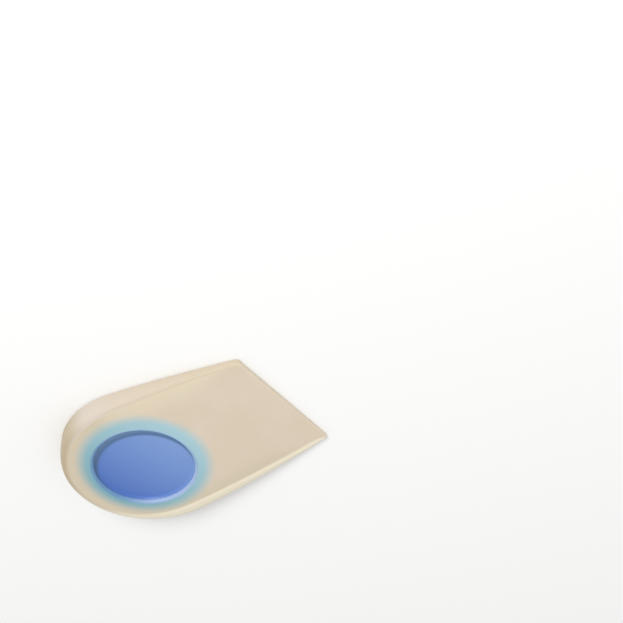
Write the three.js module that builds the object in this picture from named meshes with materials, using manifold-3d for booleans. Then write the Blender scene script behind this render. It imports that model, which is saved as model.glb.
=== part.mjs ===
// Moulded silicone heel cup with a soft round spot under the heel, in millimetres.
// The cup is drawn in the frame it is worn in: X towards the toes, Y towards the outer side
// of the foot, Z up, the flat outer face of the sole on z = 0 and the Z axis below the heel.
// It is then turned over, so that it lies on its rim with the sole up.

import * as THREE from 'three';
import { mergeVertices } from 'three/addons/utils/BufferGeometryUtils.js';
import Module from 'manifold-3d';

// Outline of the flat sole
const AXIS_FROM_BACK = 30.5;
const SOLE_LENGTH = 96;
const SOLE_WIDTH = 60;
const FRONT_WIDTH = 50;
const HEEL_ROUND = 34;
const FRONT_SLANT = 9.5;
const SIDE_BOW = 1.6;

// Wall round the heel
const RIM_HEIGHT = 12.5;
const FRONT_THICKNESS = 1.6;
const INNER_SIDE_FLARE = 4;
const OUTER_SIDE_FLARE = 8;
const FRONT_FLARE = 0.6;
const RIM_WALL = 2;
const FOOT_WALL = 4.5;
const INSIDE_FILLET = 4;

// Soft spot, a gel disc held in the sole and seen through a round window
const SPOT_FROM_BACK = 29.8;
const SPOT_TO_OUTER_SIDE = 1.2;
const WINDOW_RADIUS = 20;
const HIDDEN_MARGIN = 6;
const GEL_THICKNESS = 1.8;
const GEL_EDGE_ROUND = 0.5;
const WINDOW_LIP = 1.3;
const INNER_SKIN = 0.8;
const CLEARANCE = 0.3;

// Fineness of the curves
const HEEL_STEPS = 36;
const SIDE_STEPS = 12;
const NOSE_STEPS = 8;
const WALL_STEPS = 6;
const RIM_STEPS = 2;
const FLOOR_RINGS = 7;
const DISC_SEGMENTS = 64;
const EDGE_STEPS = 3;

// How gently the sole starts to thin out ahead of the spot
const THINNING = 1.5;

// Length of the blank's nose, as a share of half the front's width
const NOSE_ROUND = 0.8;

// Shape of the outer wall curve, in shares of the flare and of the rim's height
const BAND_REACH = 0.85;
const BAND_RISE = 0.06;
const CORNER_RISE = 0.22;

// Worked out from the sizes above
const HALF_WIDTH = SOLE_WIDTH / 2;
const HALF_FRONT = FRONT_WIDTH / 2;
const BACK_X = -AXIS_FROM_BACK;
const SPOT_X = BACK_X + SPOT_FROM_BACK;
const FRONT_X = BACK_X + SOLE_LENGTH;
const HEEL_CENTRE_X = BACK_X + HEEL_ROUND;
const SLANT = THREE.MathUtils.degToRad(FRONT_SLANT);
const TIP_X = FRONT_X + Math.tan(SLANT) * HALF_FRONT;
const SOLE_THICKNESS = WINDOW_LIP + GEL_THICKNESS + INNER_SKIN + 2 * CLEARANCE;
const RIM_SLOPE = (RIM_HEIGHT - FRONT_THICKNESS) / (TIP_X - BACK_X);
const RIM_ROUND = RIM_WALL / 2;

// The blank runs on past the front edge with a round nose, and is then cut off straight
const BLANK_X = TIP_X + RIM_WALL;
const NOSE_LENGTH = HALF_FRONT * NOSE_ROUND;

const wasm = await Module();
wasm.setup();

const mix = THREE.MathUtils.lerp;
const clamp = THREE.MathUtils.clamp;

// Half width of the sole ahead of the heel's round
function sideWidth(x) {
  const share = (x - HEEL_CENTRE_X) / (FRONT_X - HEEL_CENTRE_X);
  return mix(HALF_WIDTH, HALF_FRONT, share ** SIDE_BOW);
}

// Edge of the blank's flat sole, once round from the outer side past the heel
function soleOutline() {
  const points = [];
  for (let i = 0; i < HEEL_STEPS; i += 1) {
    const angle = (Math.PI * i) / HEEL_STEPS;
    const x = HEEL_CENTRE_X - HEEL_ROUND * Math.sin(angle);
    points.push(new THREE.Vector2(x, HALF_WIDTH * Math.cos(angle)));
  }
  for (let i = 0; i < SIDE_STEPS; i += 1) {
    const x = mix(HEEL_CENTRE_X, BLANK_X, i / SIDE_STEPS);
    points.push(new THREE.Vector2(x, -sideWidth(x)));
  }
  for (let i = 0; i < NOSE_STEPS; i += 1) {
    const angle = (Math.PI * i) / NOSE_STEPS;
    const x = BLANK_X + NOSE_LENGTH * Math.sin(angle);
    points.push(new THREE.Vector2(x, -sideWidth(BLANK_X) * Math.cos(angle)));
  }
  for (let i = 0; i < SIDE_STEPS; i += 1) {
    const x = mix(BLANK_X, HEEL_CENTRE_X, i / SIDE_STEPS);
    points.push(new THREE.Vector2(x, sideWidth(x)));
  }
  return points;
}

// Direction that points straight out of the outline at one of its points
function outwardAt(points, i) {
  const before = points[(i + points.length - 1) % points.length];
  const after = points[(i + 1) % points.length];
  const along = new THREE.Vector2().subVectors(after, before).normalize();
  return new THREE.Vector2(along.y, -along.x);
}

// 0 at the back of the sole and 1 at the tip of the front edge
function frontShare(x) {
  return clamp((x - BACK_X) / (TIP_X - BACK_X), 0, 1);
}

// Height of the rim, which lies in one plane that falls towards the front
function rimHeight(x) {
  return FRONT_THICKNESS + RIM_SLOPE * Math.max(TIP_X - x, 0);
}

// Thickness of the sole, even below the soft spot and then thinner towards the front
function soleThickness(x) {
  const start = WINDOW_RADIUS + HIDDEN_MARGIN;
  const share = clamp((x - start) / (TIP_X - start), 0, 1);
  return Math.min(mix(SOLE_THICKNESS, FRONT_THICKNESS, share ** THINNING), rimHeight(x));
}

// How far the wall leans out: most on the outer side, little at the back and inner side
function flareAt(x, outward) {
  const outerShare = Math.max(outward.y, 0) ** 2;
  const atHeel = mix(INNER_SIDE_FLARE, OUTER_SIDE_FLARE, outerShare);
  return mix(atHeel, FRONT_FLARE, frontShare(x));
}

// Cross-section of the wall: distance out from the sole's edge, and height
function wallSection(point, outward) {
  const flare = flareAt(point.x, outward);
  const rim = rimHeight(point.x + outward.x * flare);
  const floor = soleThickness(point.x);
  const round = Math.min(RIM_ROUND, rim / 2);
  const innerRound = Math.min(round, (rim - floor) / 2);
  const outerCurve = new THREE.CubicBezierCurve(
    new THREE.Vector2(0, 0),
    new THREE.Vector2(BAND_REACH * flare, BAND_RISE * rim),
    new THREE.Vector2(flare, CORNER_RISE * rim),
    new THREE.Vector2(flare, rim - round),
  );
  const innerCurve = new THREE.CubicBezierCurve(
    new THREE.Vector2(flare - 2 * round, rim - innerRound),
    new THREE.Vector2(flare - RIM_WALL, mix(rim, floor, BAND_REACH)),
    new THREE.Vector2(flare - FOOT_WALL, floor),
    new THREE.Vector2(flare - FOOT_WALL - INSIDE_FILLET, floor),
  );
  const section = outerCurve.getPoints(WALL_STEPS);
  for (let i = 1; i <= RIM_STEPS; i += 1) {
    const angle = (Math.PI / 2) * (i / RIM_STEPS);
    const out = flare - round + round * Math.cos(angle);
    section.push(new THREE.Vector2(out, rim - round + round * Math.sin(angle)));
  }
  for (let i = 1; i < RIM_STEPS; i += 1) {
    const angle = (Math.PI / 2) * (i / RIM_STEPS);
    const out = flare - round - round * Math.sin(angle);
    section.push(new THREE.Vector2(out, rim - innerRound + innerRound * Math.cos(angle)));
  }
  section.push(...innerCurve.getPoints(WALL_STEPS));
  return section;
}

// The blank of the cup: rings of points from the middle of the sole's outer face, out
// and up the wall, over the rim and back in to the middle of the inside
function blankGeometry() {
  const outline = soleOutline();
  const sections = outline.map((point, i) => {
    const outward = outwardAt(outline, i);
    return wallSection(point, outward).map(
      (p) => new THREE.Vector3(point.x + outward.x * p.x, point.y + outward.y * p.x, p.y),
    );
  });
  for (const section of sections) {
    const foot = section[section.length - 1];
    for (let ring = 1; ring < FLOOR_RINGS; ring += 1) {
      const share = 1 - ring / FLOOR_RINGS;
      const x = foot.x * share;
      section.push(new THREE.Vector3(x, foot.y * share, soleThickness(x)));
    }
  }

  const stations = sections.length;
  const rings = sections[0].length;
  const vertices = sections.flat();
  const outerMiddle = vertices.length;
  vertices.push(new THREE.Vector3(0, 0, 0));
  const innerMiddle = vertices.length;
  vertices.push(new THREE.Vector3(0, 0, soleThickness(0)));

  const index = [];
  for (let i = 0; i < stations; i += 1) {
    const here = i * rings;
    const next = ((i + 1) % stations) * rings;
    const last = rings - 1;
    index.push(outerMiddle, next, here);
    index.push(innerMiddle, here + last, next + last);
    for (let j = 0; j < last; j += 1) {
      index.push(here + j, next + j, next + j + 1);
      index.push(here + j, next + j + 1, here + j + 1);
    }
  }
  const geometry = new THREE.BufferGeometry().setFromPoints(vertices);
  geometry.setIndex(index);
  return geometry;
}

// Disc round the spot's centre between two heights, with its rim rounded
function discGeometry(radius, low, high, round) {
  const profile = new THREE.Path();
  profile.moveTo(0, low);
  profile.lineTo(radius - round, low);
  if (round > 0) {
    profile.absarc(radius - round, low + round, round, -Math.PI / 2, 0, false);
    profile.lineTo(radius, high - round);
    profile.absarc(radius - round, high - round, round, 0, Math.PI / 2, false);
  } else {
    profile.lineTo(radius, high);
  }
  profile.lineTo(0, high);
  const points = profile.getPoints(EDGE_STEPS);
  const disc = new THREE.LatheGeometry(points, DISC_SEGMENTS).rotateX(Math.PI / 2);
  return disc.translate(SPOT_X, SPOT_TO_OUTER_SIDE, 0);
}

// Only positions, with shared vertices merged and triangles without area left out
function welded(geometry) {
  const bare = geometry.clone();
  bare.deleteAttribute('normal');
  bare.deleteAttribute('uv');
  const merged = mergeVertices(bare);
  const triangles = [];
  const { array } = merged.index;
  for (let i = 0; i < array.length; i += 3) {
    const [a, b, c] = array.slice(i, i + 3);
    if (a !== b && b !== c && c !== a) triangles.push(a, b, c);
  }
  merged.setIndex(triangles);
  return merged;
}

function solidFrom(geometry) {
  const { index, attributes } = welded(geometry);
  const mesh = new wasm.Mesh({
    numProp: 3,
    vertProperties: Float32Array.from(attributes.position.array),
    triVerts: Uint32Array.from(index.array),
  });
  return new wasm.Manifold(mesh);
}

function geometryFrom(solid) {
  const { vertProperties, triVerts } = solid.getMesh();
  const geometry = new THREE.BufferGeometry();
  geometry.setAttribute('position', new THREE.BufferAttribute(vertProperties, 3));
  geometry.setIndex(new THREE.BufferAttribute(triVerts, 1));
  geometry.computeVertexNormals();
  return geometry;
}

// Everything ahead of the slanted front edge
function frontWaste() {
  const length = BLANK_X - FRONT_X + 2 * NOSE_LENGTH;
  const box = new THREE.BoxGeometry(length, 2 * SOLE_WIDTH, 4 * RIM_HEIGHT);
  return box.translate(length / 2, 0, 0).rotateZ(-SLANT).translate(FRONT_X, 0, 0);
}

// Where the gel disc lies in the sole's thickness
const GEL_LOW = WINDOW_LIP + CLEARANCE;
const GEL_HIGH = GEL_LOW + GEL_THICKNESS;
const GEL_RADIUS = WINDOW_RADIUS + HIDDEN_MARGIN;

function heelCup() {
  const window = discGeometry(WINDOW_RADIUS, -WINDOW_LIP, GEL_HIGH, 0);
  const pocket = discGeometry(
    GEL_RADIUS + CLEARANCE,
    WINDOW_LIP,
    GEL_HIGH + CLEARANCE,
    GEL_EDGE_ROUND,
  );
  const solid = solidFrom(blankGeometry())
    .subtract(solidFrom(frontWaste()))
    .subtract(solidFrom(window))
    .subtract(solidFrom(pocket));
  const silicone = new THREE.MeshStandardMaterial({
    color: new THREE.Color().setRGB(0.86, 0.8, 0.7, THREE.SRGBColorSpace),
    roughness: 0.42,
    metalness: 0,
  });
  const mesh = new THREE.Mesh(geometryFrom(solid), silicone);
  mesh.name = 'heel_cup';
  return mesh;
}

function softSpot() {
  const geometry = discGeometry(GEL_RADIUS, 0, GEL_THICKNESS, GEL_EDGE_ROUND);
  const gel = new THREE.MeshStandardMaterial({
    color: new THREE.Color().setRGB(0.43, 0.55, 0.8, THREE.SRGBColorSpace),
    roughness: 0.35,
    metalness: 0,
  });
  const mesh = new THREE.Mesh(welded(geometry), gel);
  mesh.geometry.computeVertexNormals();
  mesh.name = 'soft_spot';
  mesh.position.z = GEL_LOW;
  return mesh;
}

// Turned over on to the plane of its rim
const cup = new THREE.Group();
cup.add(heelCup(), softSpot());
cup.rotation.set(Math.PI, 0, 0);

const lying = new THREE.Group();
lying.add(cup);
lying.rotation.y = Math.atan(RIM_SLOPE);

// The origin is on the surface it lies on, below the middle of its box
const part = new THREE.Group();
part.add(lying);
const box = new THREE.Box3().setFromObject(part, true);
const middle = box.getCenter(new THREE.Vector3());
lying.position.set(-middle.x, -middle.y, -box.min.z);

export default part;
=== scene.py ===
import math

import bpy
from mathutils import Matrix, Vector


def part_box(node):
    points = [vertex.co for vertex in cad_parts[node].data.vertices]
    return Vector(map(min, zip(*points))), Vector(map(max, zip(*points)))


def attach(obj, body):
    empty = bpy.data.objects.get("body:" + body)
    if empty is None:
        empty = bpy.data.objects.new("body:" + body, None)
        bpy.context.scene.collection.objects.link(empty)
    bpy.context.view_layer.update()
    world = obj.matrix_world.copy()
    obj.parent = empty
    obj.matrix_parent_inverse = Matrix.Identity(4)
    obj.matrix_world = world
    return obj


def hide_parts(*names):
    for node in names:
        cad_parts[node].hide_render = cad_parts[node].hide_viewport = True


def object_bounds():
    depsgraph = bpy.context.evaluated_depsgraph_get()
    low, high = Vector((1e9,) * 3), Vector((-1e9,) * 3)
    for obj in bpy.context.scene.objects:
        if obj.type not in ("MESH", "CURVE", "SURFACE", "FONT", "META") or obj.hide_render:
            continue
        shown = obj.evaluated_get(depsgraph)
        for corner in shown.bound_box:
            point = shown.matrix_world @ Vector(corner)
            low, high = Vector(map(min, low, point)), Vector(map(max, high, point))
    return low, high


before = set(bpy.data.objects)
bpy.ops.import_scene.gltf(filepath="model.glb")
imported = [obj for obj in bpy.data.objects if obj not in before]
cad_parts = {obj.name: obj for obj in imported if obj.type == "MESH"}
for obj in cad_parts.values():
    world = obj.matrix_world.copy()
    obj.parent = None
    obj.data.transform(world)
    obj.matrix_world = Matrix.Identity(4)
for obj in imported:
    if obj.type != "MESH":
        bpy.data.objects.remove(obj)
cad_box = [list(corner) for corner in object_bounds()]

MM = 0.001

# Outline of the flat sole
AXIS_FROM_BACK = 30.5 * MM
SOLE_LENGTH = 96 * MM
SOLE_WIDTH = 60 * MM
FRONT_WIDTH = 50 * MM
HEEL_ROUND = 34 * MM
FRONT_SLANT = math.radians(9.5)
SIDE_BOW = 1.6

# Wall round the heel
RIM_HEIGHT = 12.5 * MM
FRONT_THICKNESS = 1.6 * MM
INNER_SIDE_FLARE = 4 * MM
OUTER_SIDE_FLARE = 8 * MM
FRONT_FLARE = 0.6 * MM
RIM_WALL = 2 * MM
FOOT_WALL = 4.5 * MM
INSIDE_FILLET = 4 * MM
BAND_REACH = 0.85
BAND_RISE = 0.06
CORNER_RISE = 0.22
THINNING = 1.5

# Gel disc in the sole and the round window that shows it
SPOT_FROM_BACK = 29.8 * MM
SPOT_TO_OUTER_SIDE = 1.2 * MM
WINDOW_RADIUS = 20 * MM
HIDDEN_MARGIN = 6 * MM
GEL_THICKNESS = 1.8 * MM
GEL_EDGE_ROUND = 0.5 * MM
WINDOW_LIP = 1.3 * MM
INNER_SKIN = 0.8 * MM
CLEARANCE = 0.3 * MM

# Small relief of the moulding
SOLE_STEP = 0.1 * MM
STEP_WIDTH = 0.8 * MM
WINDOW_ROUND = Vector((1.3, 0.9)) * MM
GEL_SINK = 0.5 * MM
MENISCUS_WIDTH = 1.3 * MM
MENISCUS_RISE = 0.8 * MM
TRIM_ROUND = 0.25 * MM
INNER_CORNER_ROUND = 1.6 * MM
OUTER_CORNER_ROUND = 1.1 * MM
SKIN_GAP = 0.03 * MM

# How much the wall is narrowed at the front corners, where it has no room
CORNER_ROOM = 18 * MM
CORNER_SHARE = 0.02
CORNER_RIM = 0.3

# Fineness of the curves
CORNER_ROUNDS = 6
HEEL_STEPS = 132
SIDE_STEPS = 60
CORNER_STEPS = 10
FRONT_STEPS = 46
FACE_RINGS = 32
FACE_CROWDING = 1.8
WALL_STEPS = 24
RIM_STEPS = 6
FLOOR_RINGS = 24
WINDOW_STEPS = 2
GEL_STEPS = 180
MENISCUS_STEPS = 8

# Rings of points on flat round faces, as shares of the radius
POCKET_RINGS = (0.25, 0.6, 0.9)
GEL_RINGS = (0.3, 0.6, 0.85, 0.95, 1)
GEL_HIDDEN_RINGS = (0.7, 0.3)

# Worked out from the sizes above
HALF_WIDTH = SOLE_WIDTH / 2
HALF_FRONT = FRONT_WIDTH / 2
BACK_X = -AXIS_FROM_BACK
FRONT_X = BACK_X + SOLE_LENGTH
HEEL_CENTRE_X = BACK_X + HEEL_ROUND
TIP_X = FRONT_X + math.tan(FRONT_SLANT) * HALF_FRONT
SPOT = Vector((BACK_X + SPOT_FROM_BACK, SPOT_TO_OUTER_SIDE))
FOOT_MIDDLE = Vector(((BACK_X + FRONT_X) / 2, 0))
SOLE_THICKNESS = WINDOW_LIP + GEL_THICKNESS + INNER_SKIN + 2 * CLEARANCE
RIM_SLOPE = (RIM_HEIGHT - FRONT_THICKNESS) / (TIP_X - BACK_X)
RIM_ROUND = RIM_WALL / 2
GEL_LOW = WINDOW_LIP + CLEARANCE
GEL_HIGH = GEL_LOW + GEL_THICKNESS
GEL_RADIUS = WINDOW_RADIUS + HIDDEN_MARGIN
FRONT_ALONG = Vector((math.sin(FRONT_SLANT), math.cos(FRONT_SLANT)))
INNER, OUTER = -1, 1
CORNER_ROUND = {INNER: INNER_CORNER_ROUND, OUTER: OUTER_CORNER_ROUND}

# Colours, as red, green and blue from 0 to 255
CREAM = (213, 199, 180)
CREAM_CLOUD = (211, 196, 175)
# Painted light: the sole lighter near its inner edge
CREAM_PAINTED_LIGHT = (218, 205, 181)
# Painted shade: the sole darker near its outer edge and round the heel
CREAM_PAINTED_SHADE = (204, 191, 167)
# Painted light: a paler band along the outer edge, where light shows through the silicone
CREAM_THIN_EDGE_LIGHT = (230, 221, 198)
# Painted shade: the wall darker than the sole
CREAM_WALL_SHADE = (196, 182, 159)
# Painted highlight: a whiter patch on the wall at the inner back
CREAM_WALL_HIGHLIGHT = (199, 188, 175)
# Painted shade: the wall darker and olive at the back of the heel
CREAM_BACK_SHADE = (176, 161, 132)
# The gel's teal through the silicone, lighter towards the front by painted light
TEAL_DEEP = (113, 162, 173)
TEAL_PALE = (163, 197, 207)
# The gel's colour through the window's lip, with painted light on its lit side and towards the
# toes and inner side, and painted shade elsewhere
LIP_LIGHT = (155, 177, 210)
LIP_FAR_LIT = (156, 192, 220)
LIP_SHADE = (104, 143, 182)
# The gel's blue, lighter towards the front by painted light
BLUE_DEEP = (73, 110, 184)
BLUE_PALE = (124, 155, 208)
# Painted shadow of the lip on the gel, with a greyer outer rim
BLUE_PAINTED_SHADOW = (78, 109, 150)
BLUE_SHADOW_RIM = (106, 138, 178)
FLOOR_WHITE = (243, 243, 242)

# Painted light and shade of the sole along its edge, and painted light along its narrow outer
# band
EDGE_LIGHT = 12 * MM
EDGE_SHADE = 9 * MM
BAND_INSIDE = 1.4 * MM
BAND_FADE = 1.4 * MM
# painted light along the front cut
FRONT_EDGE_LIGHT = 0.1

# Spans over which the painted light and shade come in, each from its start to where it is full.
# These are of the
# direction out of the outline, towards the toes:
LIGHT_PAST_HEEL = (-0.3, 0.1)
SHADE_AT_HEEL = (0.1, -0.2)
BAND_PAST_HEEL = (-0.7, 0)
# of the same direction, towards the outer side:
LIGHT_TO_INNER = (-0.2, -0.7)
SHADE_TO_OUTER = (-0.95, -0.15)
BAND_TO_OUTER = (0.3, 0.8)
UP_TO_OUTER = (-0.15, 0.35)
# and of lengths from a front corner, out of the sole's edge and up from the sole:
WHOLE_FROM_CORNER = (0, 20 * MM)
WALL_OUT = (-0.24 * MM, 0.56 * MM)
BACK_SHADE_OUT = (-0.6 * MM, 2.4 * MM)
WALL_UP = (1 * MM, 3 * MM)

# Sides of the wall and of the window's lip where painted highlight, painted shade and painted
# light go, and how closely a point has to face them for it to start and to be full
HIGHLIGHT_SIDE, HIGHLIGHT_START = Vector((-0.33, -0.944)), 0.88
BACK_SHADE_SIDE, BACK_SHADE_START = Vector((-0.81, -0.587)), 0.75
LIT_SIDE, LIT_START = Vector((0.259, 0.966)), 0.1
FAR_SIDE, FAR_START = Vector((0.707, -0.707)), 0.2
FACING_FULL = 0.98

# Tints round the spot, by the distance from their middles: the gel's teal through the silicone,
# the painted shadow of the lip on the gel, and the lip's painted light and shade
HALO_MIDDLE = SPOT + Vector((1.0, -0.9)) * MM
HALO_FULL = 22.5 * MM
HALO_END = 29 * MM
# painted shadow of the lip on the gel
SHADOW_MIDDLE = SPOT + Vector((-1.2, 3.6)) * MM
SHADOW_START = 18.8 * MM
SHADOW_FULL = 20.4 * MM
# greyer rim of the painted shadow, where the lamp's own shadow of the lip falls
SHADOW_RIM_START = 20.4 * MM
SHADOW_RIM_FULL = 22 * MM
LIP_FULL = WINDOW_RADIUS + 0.6 * WINDOW_ROUND.x
LIP_END = WINDOW_RADIUS + 1.4 * WINDOW_ROUND.x
SOLE_SIDE_FULL = 2 * MM
SOLE_SIDE_END = 4 * MM
# way along which the spot and its halo grow lighter by painted light
PALER_WAY = Vector((0.94, 0.34, 0))

# Finish of the two soft materials, by the names of their sockets
CLOUD_LOW, CLOUD_HIGH = 0.35, 0.65
SILICONE_SKIN = {"Cloud Size": 55.0, "Grain Size": 2600.0, "Smooth": 0.45, "Dull": 0.48}
SILICONE_GRAIN = 0.02 * MM
SILICONE_BODY = {
    "Subsurface Weight": 0.25,
    "Subsurface Radius": (1.0, 0.8, 0.6),
    "Subsurface Scale": 1.2 * MM,
    "IOR": 1.42,
}
GEL_SKIN = {"Cloud Size": 45.0, "Grain Size": 1800.0, "Smooth": 0.32, "Dull": 0.4}
GEL_GRAIN = 0.01 * MM
GEL_BODY = {
    "Subsurface Weight": 0.15,
    "Subsurface Radius": (0.5, 0.8, 1.0),
    "Subsurface Scale": 1.0 * MM,
    "IOR": 1.42,
}

# Studio, in metres
FLOOR_HALF = 4.0
FLOOR_GAP = 0.02 * MM
FLOOR_ROUGHNESS = 0.9
KEY_PLACE = Vector((0.27, 1.01, 0.7))
KEY_AIM = Vector((-0.02, 0, 0.01))
KEY_SIZE = 0.55
KEY_POWER = 9.2
SKY_STRENGTH = 0.76

# Camera, where the photograph was taken from
CAMERA_PLACE = Vector((310.86, 351.27, 403.73)) * MM
CAMERA_AIM = Vector((84.57, 40.75, 6.0)) * MM
CAMERA_ROLL = math.radians(-173.25)
CAMERA_LENS = 89.68
CAMERA_SENSOR = 36
CAMERA_NEAR = 0.01


def mix(a, b, share):
    return a + (b - a) * share


def clamp(value, low=0.0, high=1.0):
    return max(low, min(high, value))


def ease(share):
    share = clamp(share)
    return share * share * (3 - 2 * share)


def across(span, value):
    """Eases from 0 to 1 as value goes from a span's start to its end."""
    start, full = span
    return ease((value - start) / (full - start))


# The cup's shape, in the frame it is worn in: X to the toes, Y to the outer side, Z up
def side_width(x):
    share = max(x - HEEL_CENTRE_X, 0) / (FRONT_X - HEEL_CENTRE_X)
    return mix(HALF_WIDTH, HALF_FRONT, share**SIDE_BOW)


def front_corner(side):
    """Where a side meets the slanted front edge, found in a few rounds."""
    x = FRONT_X
    for _ in range(CORNER_ROUNDS):
        x = FRONT_X + side * side_width(x) * math.tan(FRONT_SLANT)
    return Vector((x, side * side_width(x)))


def side_along(side):
    """Direction of a side, towards the toes, where it meets the front edge."""
    end = front_corner(side)
    before = Vector((end.x - MM, side * side_width(end.x - MM)))
    return (end - before).normalized()


def heel_points():
    points = []
    for i in range(HEEL_STEPS):
        angle = math.pi * i / HEEL_STEPS
        x = HEEL_CENTRE_X - HEEL_ROUND * math.sin(angle)
        points.append(Vector((x, HALF_WIDTH * math.cos(angle))))
    return points


def side_points(side):
    """Points along a side from the heel's round to the start of its front corner."""
    end = (front_corner(side) - side_along(side) * CORNER_ROUND[side]).x
    points = []
    for i in range(SIDE_STEPS):
        x = mix(HEEL_CENTRE_X, end, i / SIDE_STEPS)
        points.append(Vector((x, side * side_width(x))))
    return points


def corner_points(side):
    """Rounded front corner, from the side to the front edge."""
    corner = front_corner(side)
    start = corner - side_along(side) * CORNER_ROUND[side]
    end = corner - FRONT_ALONG * side * CORNER_ROUND[side]
    points = []
    for i in range(CORNER_STEPS + 1):
        t = i / CORNER_STEPS
        points.append(start * (1 - t) ** 2 + corner * (2 * t * (1 - t)) + end * t * t)
    return points


def front_points():
    start = front_corner(INNER) + FRONT_ALONG * CORNER_ROUND[INNER]
    end = front_corner(OUTER) - FRONT_ALONG * CORNER_ROUND[OUTER]
    return [start.lerp(end, i / FRONT_STEPS) for i in range(1, FRONT_STEPS)]


def sole_outline():
    """Once round the sole from its outer side past the heel: (point, share of front edge)."""
    corner_shares = [ease(i / CORNER_STEPS) for i in range(CORNER_STEPS + 1)]
    stations = [(p, 0) for p in heel_points() + side_points(INNER)]
    stations += zip(corner_points(INNER), corner_shares)
    stations += [(p, 1) for p in front_points()]
    stations += reversed(list(zip(corner_points(OUTER), corner_shares)))
    stations += [(p, 0) for p in side_points(OUTER)[:0:-1]]
    return stations


def outward_at(points, i):
    along = (points[(i + 1) % len(points)] - points[i - 1]).normalized()
    return Vector((along.y, -along.x))


def rim_height(x):
    return FRONT_THICKNESS + RIM_SLOPE * max(TIP_X - x, 0)


def sole_thickness(x):
    share = clamp((x - GEL_RADIUS) / (TIP_X - GEL_RADIUS))
    thickness = mix(SOLE_THICKNESS, FRONT_THICKNESS, share**THINNING)
    return min(thickness, rim_height(x))


def flare_at(x, outward):
    outer_share = max(outward.y, 0) ** 2
    at_heel = mix(INNER_SIDE_FLARE, OUTER_SIDE_FLARE, outer_share)
    return mix(at_heel, FRONT_FLARE, clamp((x - BACK_X) / (TIP_X - BACK_X)))


def curve_through(a, b, c, d, steps):
    """Points on the cubic curve from a to d with b and c as its handles."""
    points = []
    for i in range(steps + 1):
        t = i / steps
        u = 1 - t
        points.append(a * u**3 + b * (3 * u * u * t) + c * (3 * u * t * t) + d * t**3)
    return points


def quarter(centre, across_by, up_by, steps, first=0):
    """Points on a quarter of an ellipse from centre + across_by to centre + up_by."""
    points = []
    for i in range(first, steps + 1):
        angle = math.pi / 2 * i / steps
        points.append(centre + across_by * math.cos(angle) + up_by * math.sin(angle))
    return points


def wall_section(point, outward, room):
    """Wall from the sole's edge over the rim to the inside: (distance out, height)."""
    flare = flare_at(point.x, outward)
    rim = rim_height(point.x + outward.x * flare)
    floor = sole_thickness(point.x)
    edge = min(RIM_ROUND, rim / 2) * mix(CORNER_RIM, 1, room)
    inner_edge = min(edge, (rim - floor) / 2)
    outer = curve_through(
        Vector((0, 0)),
        Vector((BAND_REACH * flare, BAND_RISE * rim)),
        Vector((flare, CORNER_RISE * rim)),
        Vector((flare, rim - edge)),
        WALL_STEPS,
    )
    step = SOLE_STEP * min(1, flare / INNER_SIDE_FLARE)
    for i, p in enumerate(outer):
        p.y += step * ease(p.x / STEP_WIDTH) * (1 - i / WALL_STEPS)
    crest = Vector((flare - edge, rim - edge))
    section = outer + quarter(crest, Vector((edge, 0)), Vector((0, edge)), RIM_STEPS, 1)
    crest = Vector((flare - edge, rim - inner_edge))
    back = quarter(crest, Vector((-edge, 0)), Vector((0, inner_edge)), RIM_STEPS)
    section += back[-2:0:-1]
    inset = flare - 2 * edge
    section += curve_through(
        Vector((inset, rim - inner_edge)),
        Vector((inset, mix(rim, floor, BAND_REACH))),
        Vector((inset - (FOOT_WALL - RIM_WALL) * room, floor)),
        Vector((inset - (FOOT_WALL + INSIDE_FILLET - RIM_WALL) * room, floor)),
        WALL_STEPS,
    )
    return section


def front_section(point, outward, room):
    """Cut front edge in as many points as the wall has, its two corners just rounded."""
    top = sole_thickness(point.x)
    edge = TRIM_ROUND
    low = Vector((-edge, edge))
    high = Vector((-edge, top - edge))
    section = quarter(low, Vector((0, -edge)), Vector((edge, 0)), RIM_STEPS)
    rise = WALL_STEPS - RIM_STEPS
    section += [section[-1].lerp(high + Vector((edge, 0)), i / rise) for i in range(1, rise + 1)]
    section += quarter(high, Vector((edge, 0)), Vector((0, edge)), RIM_STEPS, 1)
    reach = edge + (FOOT_WALL + INSIDE_FILLET) * room
    steps = RIM_STEPS + WALL_STEPS
    for i in range(1, steps + 1):
        out = -mix(edge, reach, i / steps)
        section.append(Vector((out, sole_thickness(point.x + outward.x * out))))
    return section


def pocket_profile():
    """Pocket for the gel from its middle out, back under the lip and out of the window."""
    edge = GEL_EDGE_ROUND
    radius = GEL_RADIUS + SKIN_GAP
    high = GEL_HIGH + SKIN_GAP
    low = GEL_LOW - SKIN_GAP
    profile = [Vector((radius * share, high)) for share in POCKET_RINGS]
    corner = Vector((radius - edge, high - edge))
    profile += quarter(corner, Vector((0, edge)), Vector((edge, 0)), RIM_STEPS)
    profile += [Vector((radius, low)), Vector((mix(WINDOW_RADIUS, radius, 0.5), low))]
    for i in range(WINDOW_STEPS):
        height = mix(low, WINDOW_ROUND.y, i / WINDOW_STEPS)
        profile.append(Vector((WINDOW_RADIUS, height)))
    corner = Vector((WINDOW_RADIUS, 0)) + WINDOW_ROUND
    inwards, down = Vector((-WINDOW_ROUND.x, 0)), Vector((0, -WINDOW_ROUND.y))
    profile += quarter(corner, inwards, down, 2 * RIM_STEPS)
    return profile


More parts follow.
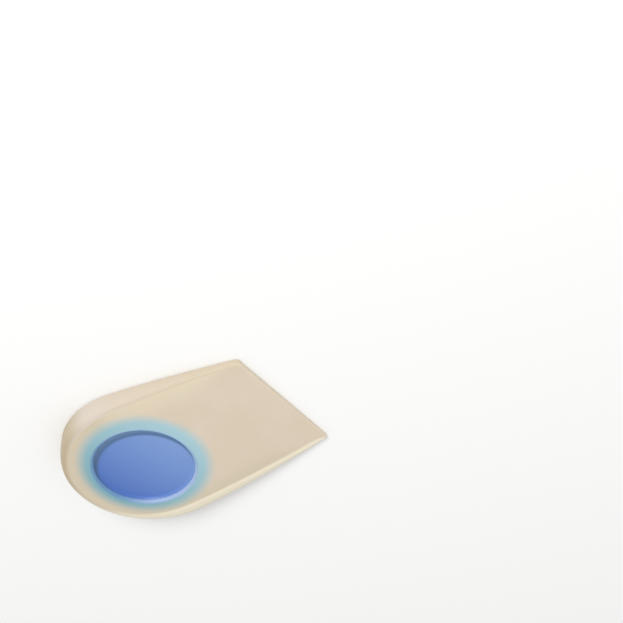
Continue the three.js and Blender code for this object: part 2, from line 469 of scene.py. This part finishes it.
def gel_profile():
    """Gel from the middle of the side that shows to the middle of its hidden side."""
    edge = GEL_EDGE_ROUND
    flat = WINDOW_RADIUS - MENISCUS_WIDTH
    rim = WINDOW_RADIUS - SKIN_GAP
    sunk = GEL_LOW + GEL_SINK
    profile = [Vector((flat * share, sunk)) for share in GEL_RINGS]
    for i in range(1, MENISCUS_STEPS + 1):
        share = 1 - (1 - i / MENISCUS_STEPS) ** 2
        profile.append(Vector((mix(flat, rim, share), sunk - MENISCUS_RISE * share**2)))
    profile.append(Vector((rim, GEL_LOW)))
    corner = Vector((GEL_RADIUS - edge, GEL_LOW + edge))
    profile += quarter(corner, Vector((0, -edge)), Vector((edge, 0)), RIM_STEPS)
    corner = Vector((GEL_RADIUS - edge, GEL_HIGH - edge))
    profile += quarter(corner, Vector((edge, 0)), Vector((0, edge)), RIM_STEPS)
    profile += [Vector((GEL_RADIUS * share, GEL_HIGH)) for share in GEL_HIDDEN_RINGS]
    return profile


def entry(place, height, **shares):
    """Point of a piece, with the facts that its colours are worked out from."""
    facts = {
        "above_sole": height,
        "from_spot": (place - SPOT).length,
        "from_halo": (place - HALO_MIDDLE).length,
        "from_deep": (place - SHADOW_MIDDLE).length,
    }
    return (place, height, {**facts, **shares})


def facing(way, side, start):
    """1 where way points to side, easing to 0 where they are further apart than start."""
    return across((start, FACING_FULL), way.normalized().dot(side))


def sole_shares(to_edge, outward, front, from_corner):
    """Shares of the sole's painted light and painted shade, and of the painted light of its
    outer band, at a distance inside its edge.
    """
    whole = across(WHOLE_FROM_CORNER, from_corner) * (1 - front)
    at_light = across(LIGHT_TO_INNER, outward.y) * across(LIGHT_PAST_HEEL, outward.x)
    at_shade = max(across(SHADE_TO_OUTER, outward.y), across(SHADE_AT_HEEL, outward.x))
    at_band = across(BAND_TO_OUTER, outward.y) * (1 - front)
    band = BAND_INSIDE * across(BAND_PAST_HEEL, outward.x)
    # painted light near the inner edge, painted shade near the outer edge and heel, painted
    # light on the outer band
    return {
        "light": ease(1 - to_edge / EDGE_LIGHT) * at_light * whole,
        "shade": ease(1 - (to_edge - band) / EDGE_SHADE) * at_shade * whole,
        "thin": ease(0.5 + (band - to_edge) / BAND_FADE) * at_band,
    }


def wall_shares(p, outward, front, outside, from_corner):
    """Shares of the wall's painted light, painted shade and painted highlight, for a point of
    its section.
    """
    high = mix(across(WALL_OUT, p.x), across(WALL_UP, p.y), across(UP_TO_OUTER, outward.y))
    shares = sole_shares(-p.x, outward, front, from_corner)
    # painted light along the outer band and, faintly, the front cut
    shares["thin"] = max(shares["thin"], FRONT_EDGE_LIGHT * front) * outside
    # painted shade over the upright wall
    shares["wall"] = high * (1 - front) * outside
    # painted highlight on the wall at the inner back
    shares["pale"] = facing(outward, HIGHLIGHT_SIDE, HIGHLIGHT_START)
    # painted shade on the wall at the back of the heel
    shares["dark"] = facing(outward, BACK_SHADE_SIDE, BACK_SHADE_START) * across(BACK_SHADE_OUT, p.x)
    return shares


def cup_column(point, front, outward, from_corner):
    """Column of points from the middle of the pocket, out over the sole and the wall at a
    point of the outline, and in to the middle of the inside."""
    room = mix(CORNER_SHARE, 1, ease(from_corner / CORNER_ROOM))
    wall = wall_section(point, outward, room)
    cut = front_section(point, outward, room)
    section = [a.lerp(b, front) for a, b in zip(wall, cut)]
    ray = (point - SPOT).normalized()
    # painted light and shade of the window's lip, by the way it faces
    lip = {"lit": facing(ray, LIT_SIDE, LIT_START), "far": facing(ray, FAR_SIDE, FAR_START)}
    column = [entry(SPOT + ray * p.x, p.y, **lip) for p in pocket_profile()]
    window_edge = SPOT + ray * (WINDOW_RADIUS + WINDOW_ROUND.x)
    face_edge = point + outward * section[0].x
    for ring in range(1, FACE_RINGS):
        share = 1 - (1 - ring / FACE_RINGS) ** FACE_CROWDING
        place = window_edge.lerp(face_edge, share)
        to_edge = abs(outward.dot(place - point))
        shares = sole_shares(to_edge, outward, front, from_corner)
        column.append(entry(place, 0, **lip, **shares))
    for j, p in enumerate(section):
        outside = 1 - ease((j - WALL_STEPS) / (2 * RIM_STEPS))
        shares = wall_shares(p, outward, front, outside, from_corner)
        column.append(entry(point + outward * p.x, p.y, **shares))
    foot = column[-1][0]
    for ring in range(1, FLOOR_RINGS):
        place = foot.lerp(FOOT_MIDDLE, ring / FLOOR_RINGS)
        column.append(entry(place, sole_thickness(place.x)))
    return column


def cup_columns():
    stations = sole_outline()
    outline = [point for point, _ in stations]
    corners = [front_corner(INNER), front_corner(OUTER)]
    columns = []
    for i, (point, front) in enumerate(stations):
        from_corner = min((point - corner).length for corner in corners)
        columns.append(cup_column(point, front, outward_at(outline, i), from_corner))
    return columns


def turned_columns(profile):
    """Columns of a profile turned once round the spot's axis."""
    columns = []
    for i in range(GEL_STEPS):
        angle = math.tau * i / GEL_STEPS
        ray = Vector((math.cos(angle), math.sin(angle)))
        columns.append([entry(SPOT + ray * p.x, p.y) for p in profile])
    return columns


def closed_piece(name, columns, first, last):
    """Closed mesh through columns that go once round, with a point at each end."""
    rows = len(columns[0])
    entries = [item for column in columns for item in column] + [first, last]
    points = [(place.x, place.y, height) for place, height, _ in entries]
    first_point, last_point = len(points) - 2, len(points) - 1
    faces = []
    for i in range(len(columns)):
        here = i * rows
        after = (i + 1) % len(columns) * rows
        faces.append((first_point, after, here))
        faces.append((last_point, here + rows - 1, after + rows - 1))
        for j in range(rows - 1):
            faces.append((here + j, after + j, after + j + 1, here + j + 1))
    mesh = bpy.data.meshes.new(name)
    mesh.from_pydata(points, [], faces)
    for fact in sorted({fact for item in entries for fact in item[2]}):
        attribute = mesh.attributes.new(fact, "FLOAT", "POINT")
        attribute.data.foreach_set("value", [item[2].get(fact, 0) for item in entries])
    mesh.shade_smooth()
    piece = bpy.data.objects.new(name, mesh)
    bpy.context.scene.collection.objects.link(piece)
    return piece


def lie_on_rim(cup, gel):
    """Turns the worn shapes over on to the rim and puts them where the solids are."""
    turn = Matrix.Rotation(math.atan(RIM_SLOPE), 4, "Y") @ Matrix.Rotation(math.pi, 4, "X")
    places = [turn @ vertex.co for vertex in cup.data.vertices]
    low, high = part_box("heel_cup")
    widths = [place.y for place in places]
    shift = Vector((
        low.x - min(place.x for place in places),
        (low.y + high.y - min(widths) - max(widths)) / 2,
        low.z - min(place.z for place in places),
    ))
    for piece in (cup, gel):
        piece.data.transform(Matrix.Translation(shift) @ turn)
        piece.data.update()


# Materials
def colour(rgb):
    """Linear colour of a screen colour."""
    linear = []
    for value in rgb:
        share = value / 255
        linear.append(share / 12.92 if share <= 0.04045 else ((share + 0.055) / 1.055) ** 2.4)
    return (*linear, 1)


def set_inputs(node, values):
    for name, value in values.items():
        node.inputs[name].default_value = value


def add_node(tree, kind, inputs=None, **settings):
    node = tree.nodes.new(kind)
    for name, value in settings.items():
        setattr(node, name, value)
    set_inputs(node, inputs or {})
    return node


def ramp(tree, source, low, high, to_low=0.0, to_high=1.0):
    """Eases from to_low to to_high as source goes from low to high."""
    ends = {"From Min": low, "From Max": high, "To Min": to_low, "To Max": to_high}
    node = add_node(tree, "ShaderNodeMapRange", ends, interpolation_type="SMOOTHSTEP")
    tree.links.new(source, node.inputs["Value"])
    return node.outputs["Result"]


def fade(tree, source, full, end):
    """Eases from 1 to 0 as source goes from full to end."""
    return ramp(tree, source, full, end, 1.0, 0.0)


def times(tree, a, b):
    node = add_node(tree, "ShaderNodeMath", operation="MULTIPLY")
    tree.links.new(a, node.inputs[0])
    tree.links.new(b, node.inputs[1])
    return node.outputs["Value"]


def blend_colour(tree, share, under, over):
    """Mixes two colours, each a socket or a screen colour."""
    node = add_node(tree, "ShaderNodeMix", data_type="RGBA")
    tree.links.new(share, node.inputs["Factor"])
    for name, value in (("A", under), ("B", over)):
        socket = [s for s in node.inputs if s.name == name and s.type == "RGBA"][0]
        if isinstance(value, tuple):
            socket.default_value = colour(value)
        else:
            tree.links.new(value, socket)
    return [s for s in node.outputs if s.type == "RGBA"][0]


def fact_of_point(tree, name):
    return add_node(tree, "ShaderNodeAttribute", attribute_name=name).outputs["Fac"]


def new_group(name, inputs, outputs):
    """Node group with named numbers in and out, and the two nodes that carry them."""
    group = bpy.data.node_groups.new(name, "ShaderNodeTree")
    face = group.interface
    for socket_name, value in inputs.items():
        socket = face.new_socket(socket_name, in_out="INPUT", socket_type="NodeSocketFloat")
        socket.default_value = value
    for socket_name in outputs:
        face.new_socket(socket_name, in_out="OUTPUT", socket_type="NodeSocketFloat")
    return group, add_node(group, "NodeGroupInput"), add_node(group, "NodeGroupOutput")


def moulded_skin_group():
    """Skin of a soft moulding: slow clouding, a fine grain and a roughness that varies."""
    inputs = {"Cloud Size": 60.0, "Grain Size": 1500.0, "Smooth": 0.35, "Dull": 0.5}
    outputs = ("Cloud", "Grain", "Roughness")
    group, given, result = new_group("moulded skin", inputs, outputs)
    place = add_node(group, "ShaderNodeTexCoord").outputs["Object"]
    cloud = add_node(group, "ShaderNodeTexNoise", {"Detail": 3.0, "Roughness": 0.55})
    grain = add_node(group, "ShaderNodeTexNoise", {"Detail": 4.0, "Roughness": 0.6})
    for noise, size in ((cloud, "Cloud Size"), (grain, "Grain Size")):
        group.links.new(place, noise.inputs["Vector"])
        group.links.new(given.outputs[size], noise.inputs["Scale"])
    ends = {"From Min": CLOUD_LOW, "From Max": CLOUD_HIGH}
    shine = add_node(group, "ShaderNodeMapRange", ends)
    group.links.new(cloud.outputs["Fac"], shine.inputs["Value"])
    group.links.new(given.outputs["Smooth"], shine.inputs["To Min"])
    group.links.new(given.outputs["Dull"], shine.inputs["To Max"])
    clouding = ramp(group, cloud.outputs["Fac"], CLOUD_LOW, CLOUD_HIGH)
    group.links.new(clouding, result.inputs["Cloud"])
    group.links.new(grain.outputs["Fac"], result.inputs["Grain"])
    group.links.new(shine.outputs["Result"], result.inputs["Roughness"])
    return group


def paler_way_group():
    """Share by which the spot's colours are paler, from its back to its front, as painted light.
    """
    group, given, result = new_group("paler way", {"Start": -0.02, "End": 0.02}, ("Share",))
    place = add_node(group, "ShaderNodeTexCoord").outputs["Object"]
    along = add_node(group, "ShaderNodeVectorMath", operation="DOT_PRODUCT")
    group.links.new(place, along.inputs[0])
    along.inputs[1].default_value = PALER_WAY
    share = add_node(group, "ShaderNodeMapRange")
    group.links.new(along.outputs["Value"], share.inputs["Value"])
    group.links.new(given.outputs["Start"], share.inputs["From Min"])
    group.links.new(given.outputs["End"], share.inputs["From Max"])
    group.links.new(share.outputs["Result"], result.inputs["Share"])
    return group


def paler_share(tree, paler_group, reach):
    """Share of the paler colour, from reach behind the spot's middle to reach before it."""
    low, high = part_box("soft_spot")
    middle = PALER_WAY.dot((low + high) / 2)
    ends = {"Start": middle - reach, "End": middle + reach}
    return add_node(tree, "ShaderNodeGroup", ends, node_tree=paler_group).outputs["Share"]


def soft_material(name, skin_group, skin_values, grain_height, body_values):
    """Material with the moulded skin on it, its shader and the skin's clouding."""
    material = bpy.data.materials.new(name)
    material.use_nodes = True
    tree = material.node_tree
    shader = tree.nodes["Principled BSDF"]
    set_inputs(shader, body_values)
    skin = add_node(tree, "ShaderNodeGroup", skin_values, node_tree=skin_group)
    relief = add_node(tree, "ShaderNodeBump", {"Strength": 1.0, "Distance": grain_height})
    tree.links.new(skin.outputs["Grain"], relief.inputs["Height"])
    tree.links.new(relief.outputs["Normal"], shader.inputs["Normal"])
    tree.links.new(skin.outputs["Roughness"], shader.inputs["Roughness"])
    return material, shader, skin.outputs["Cloud"]


def silicone_material(skin_group, paler_group):
    """Cream silicone, paler by painted light where it is thinner, with painted light and shade
    on its sole, wall and lip, and the gel's colour through the lip.
    """
    material, shader, cloud = soft_material(
        "silicone", skin_group, SILICONE_SKIN, SILICONE_GRAIN, SILICONE_BODY
    )
    tree = material.node_tree
    body = blend_colour(tree, cloud, CREAM, CREAM_CLOUD)
    # painted light on the sole near its inner edge
    body = blend_colour(tree, fact_of_point(tree, "light"), body, CREAM_PAINTED_LIGHT)
    # painted shade on the sole near its outer edge and heel
    body = blend_colour(tree, fact_of_point(tree, "shade"), body, CREAM_PAINTED_SHADE)
    # painted light on the outer band and front cut
    body = blend_colour(tree, fact_of_point(tree, "thin"), body, CREAM_THIN_EDGE_LIGHT)
    # painted shade over the wall, with a painted highlight at its inner back
    wall = blend_colour(tree, fact_of_point(tree, "pale"), CREAM_WALL_SHADE, CREAM_WALL_HIGHLIGHT)
    # painted shade on the back of the heel
    wall = blend_colour(tree, fact_of_point(tree, "dark"), wall, CREAM_BACK_SHADE)
    body = blend_colour(tree, fact_of_point(tree, "wall"), body, wall)
    above_sole = fact_of_point(tree, "above_sole")
    sole_side = fade(tree, above_sole, SOLE_SIDE_FULL, SOLE_SIDE_END)
    halo = fade(tree, fact_of_point(tree, "from_halo"), HALO_FULL, HALO_END)
    paler = paler_share(tree, paler_group, GEL_RADIUS)
    # teal lighter towards the front by painted light
    teal = blend_colour(tree, paler, TEAL_DEEP, TEAL_PALE)
    body = blend_colour(tree, times(tree, halo, sole_side), body, teal)
    lip = fade(tree, fact_of_point(tree, "from_spot"), LIP_FULL, LIP_END)
    # painted shade on the lip, with painted light on its lit side and towards the toes and inner
    # side
    lip_colour = blend_colour(tree, fact_of_point(tree, "far"), LIP_SHADE, LIP_FAR_LIT)
    lip_colour = blend_colour(tree, fact_of_point(tree, "lit"), lip_colour, LIP_LIGHT)
    body = blend_colour(tree, times(tree, lip, sole_side), body, lip_colour)
    tree.links.new(body, shader.inputs["Base Color"])
    return material


def gel_material(skin_group, paler_group):
    """Blue gel, darker towards the back by painted shade, and with a painted shadow of the lip
    across its inner side.
    """
    material, shader, _ = soft_material("blue gel", skin_group, GEL_SKIN, GEL_GRAIN, GEL_BODY)
    tree = material.node_tree
    paler = paler_share(tree, paler_group, WINDOW_RADIUS)
    # blue lighter towards the front by painted light
    blue = blend_colour(tree, paler, BLUE_DEEP, BLUE_PALE)
    # painted shadow of the lip on the gel, greyer near the lip
    from_deep = fact_of_point(tree, "from_deep")
    blue = blend_colour(tree, ramp(tree, from_deep, SHADOW_START, SHADOW_FULL), blue, BLUE_PAINTED_SHADOW)
    under = ramp(tree, from_deep, SHADOW_RIM_START, SHADOW_RIM_FULL)
    blue = blend_colour(tree, under, blue, BLUE_SHADOW_RIM)
    tree.links.new(blue, shader.inputs["Base Color"])
    return material


def floor_material():
    material = bpy.data.materials.new("floor paper")
    material.use_nodes = True
    shader = material.node_tree.nodes["Principled BSDF"]
    set_inputs(shader, {"Base Color": colour(FLOOR_WHITE), "Roughness": FLOOR_ROUGHNESS})
    return material


# Pieces
def make_cup(skin_group, paler_group):
    columns = cup_columns()
    pocket_middle = entry(SPOT, GEL_HIGH + SKIN_GAP)
    foot_middle = entry(FOOT_MIDDLE, sole_thickness(FOOT_MIDDLE.x))
    cup = closed_piece("cup_body", columns, pocket_middle, foot_middle)
    cup.data.materials.append(silicone_material(skin_group, paler_group))
    return cup


def make_gel(skin_group, paler_group):
    columns = turned_columns(gel_profile())
    shown_middle = entry(SPOT, GEL_LOW + GEL_SINK)
    hidden_middle = entry(SPOT, GEL_HIGH)
    gel = closed_piece("gel_spot", columns, shown_middle, hidden_middle)
    gel.data.materials.append(gel_material(skin_group, paler_group))
    return gel


# Studio
def make_floor():
    mesh = bpy.data.meshes.new("floor")
    ways = ((-1, -1), (1, -1), (1, 1), (-1, 1))
    corners = [(FLOOR_HALF * x, FLOOR_HALF * y, 0) for x, y in ways]
    mesh.from_pydata(corners, [], [(0, 1, 2, 3)])
    floor = bpy.data.objects.new("floor", mesh)
    floor.location.z = cad_box[0][2] - FLOOR_GAP
    bpy.context.scene.collection.objects.link(floor)
    mesh.materials.append(floor_material())


def make_key_light():
    data = bpy.data.lights.new("key", "AREA")
    data.shape = "DISK"
    data.size = KEY_SIZE
    data.energy = KEY_POWER
    light = bpy.data.objects.new("key", data)
    light.location = KEY_PLACE
    light.rotation_euler = (KEY_AIM - KEY_PLACE).to_track_quat("-Z", "Y").to_euler()
    bpy.context.scene.collection.objects.link(light)


def make_sky():
    world = bpy.data.worlds.new("studio")
    world.use_nodes = True
    sky = world.node_tree.nodes["Background"]
    set_inputs(sky, {"Color": (1, 1, 1, 1), "Strength": SKY_STRENGTH})
    bpy.context.scene.world = world


def make_camera():
    data = bpy.data.cameras.new("camera")
    data.lens = CAMERA_LENS
    data.sensor_width = CAMERA_SENSOR
    data.clip_start = CAMERA_NEAR
    camera = bpy.data.objects.new("camera", data)
    look = (CAMERA_AIM - CAMERA_PLACE).to_track_quat("-Z", "Y").to_matrix().to_4x4()
    roll = Matrix.Rotation(CAMERA_ROLL, 4, "Z")
    camera.matrix_world = Matrix.Translation(CAMERA_PLACE) @ look @ roll
    bpy.context.scene.collection.objects.link(camera)
    bpy.context.scene.camera = camera


make_camera()
make_floor()
make_key_light()
make_sky()
bpy.context.scene.view_settings.view_transform = "Standard"

skin_group = moulded_skin_group()
paler_group = paler_way_group()
cup = make_cup(skin_group, paler_group)
gel = make_gel(skin_group, paler_group)
lie_on_rim(cup, gel)

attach(cup, "root")
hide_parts("heel_cup")
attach(gel, "root")
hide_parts("soft_spot")
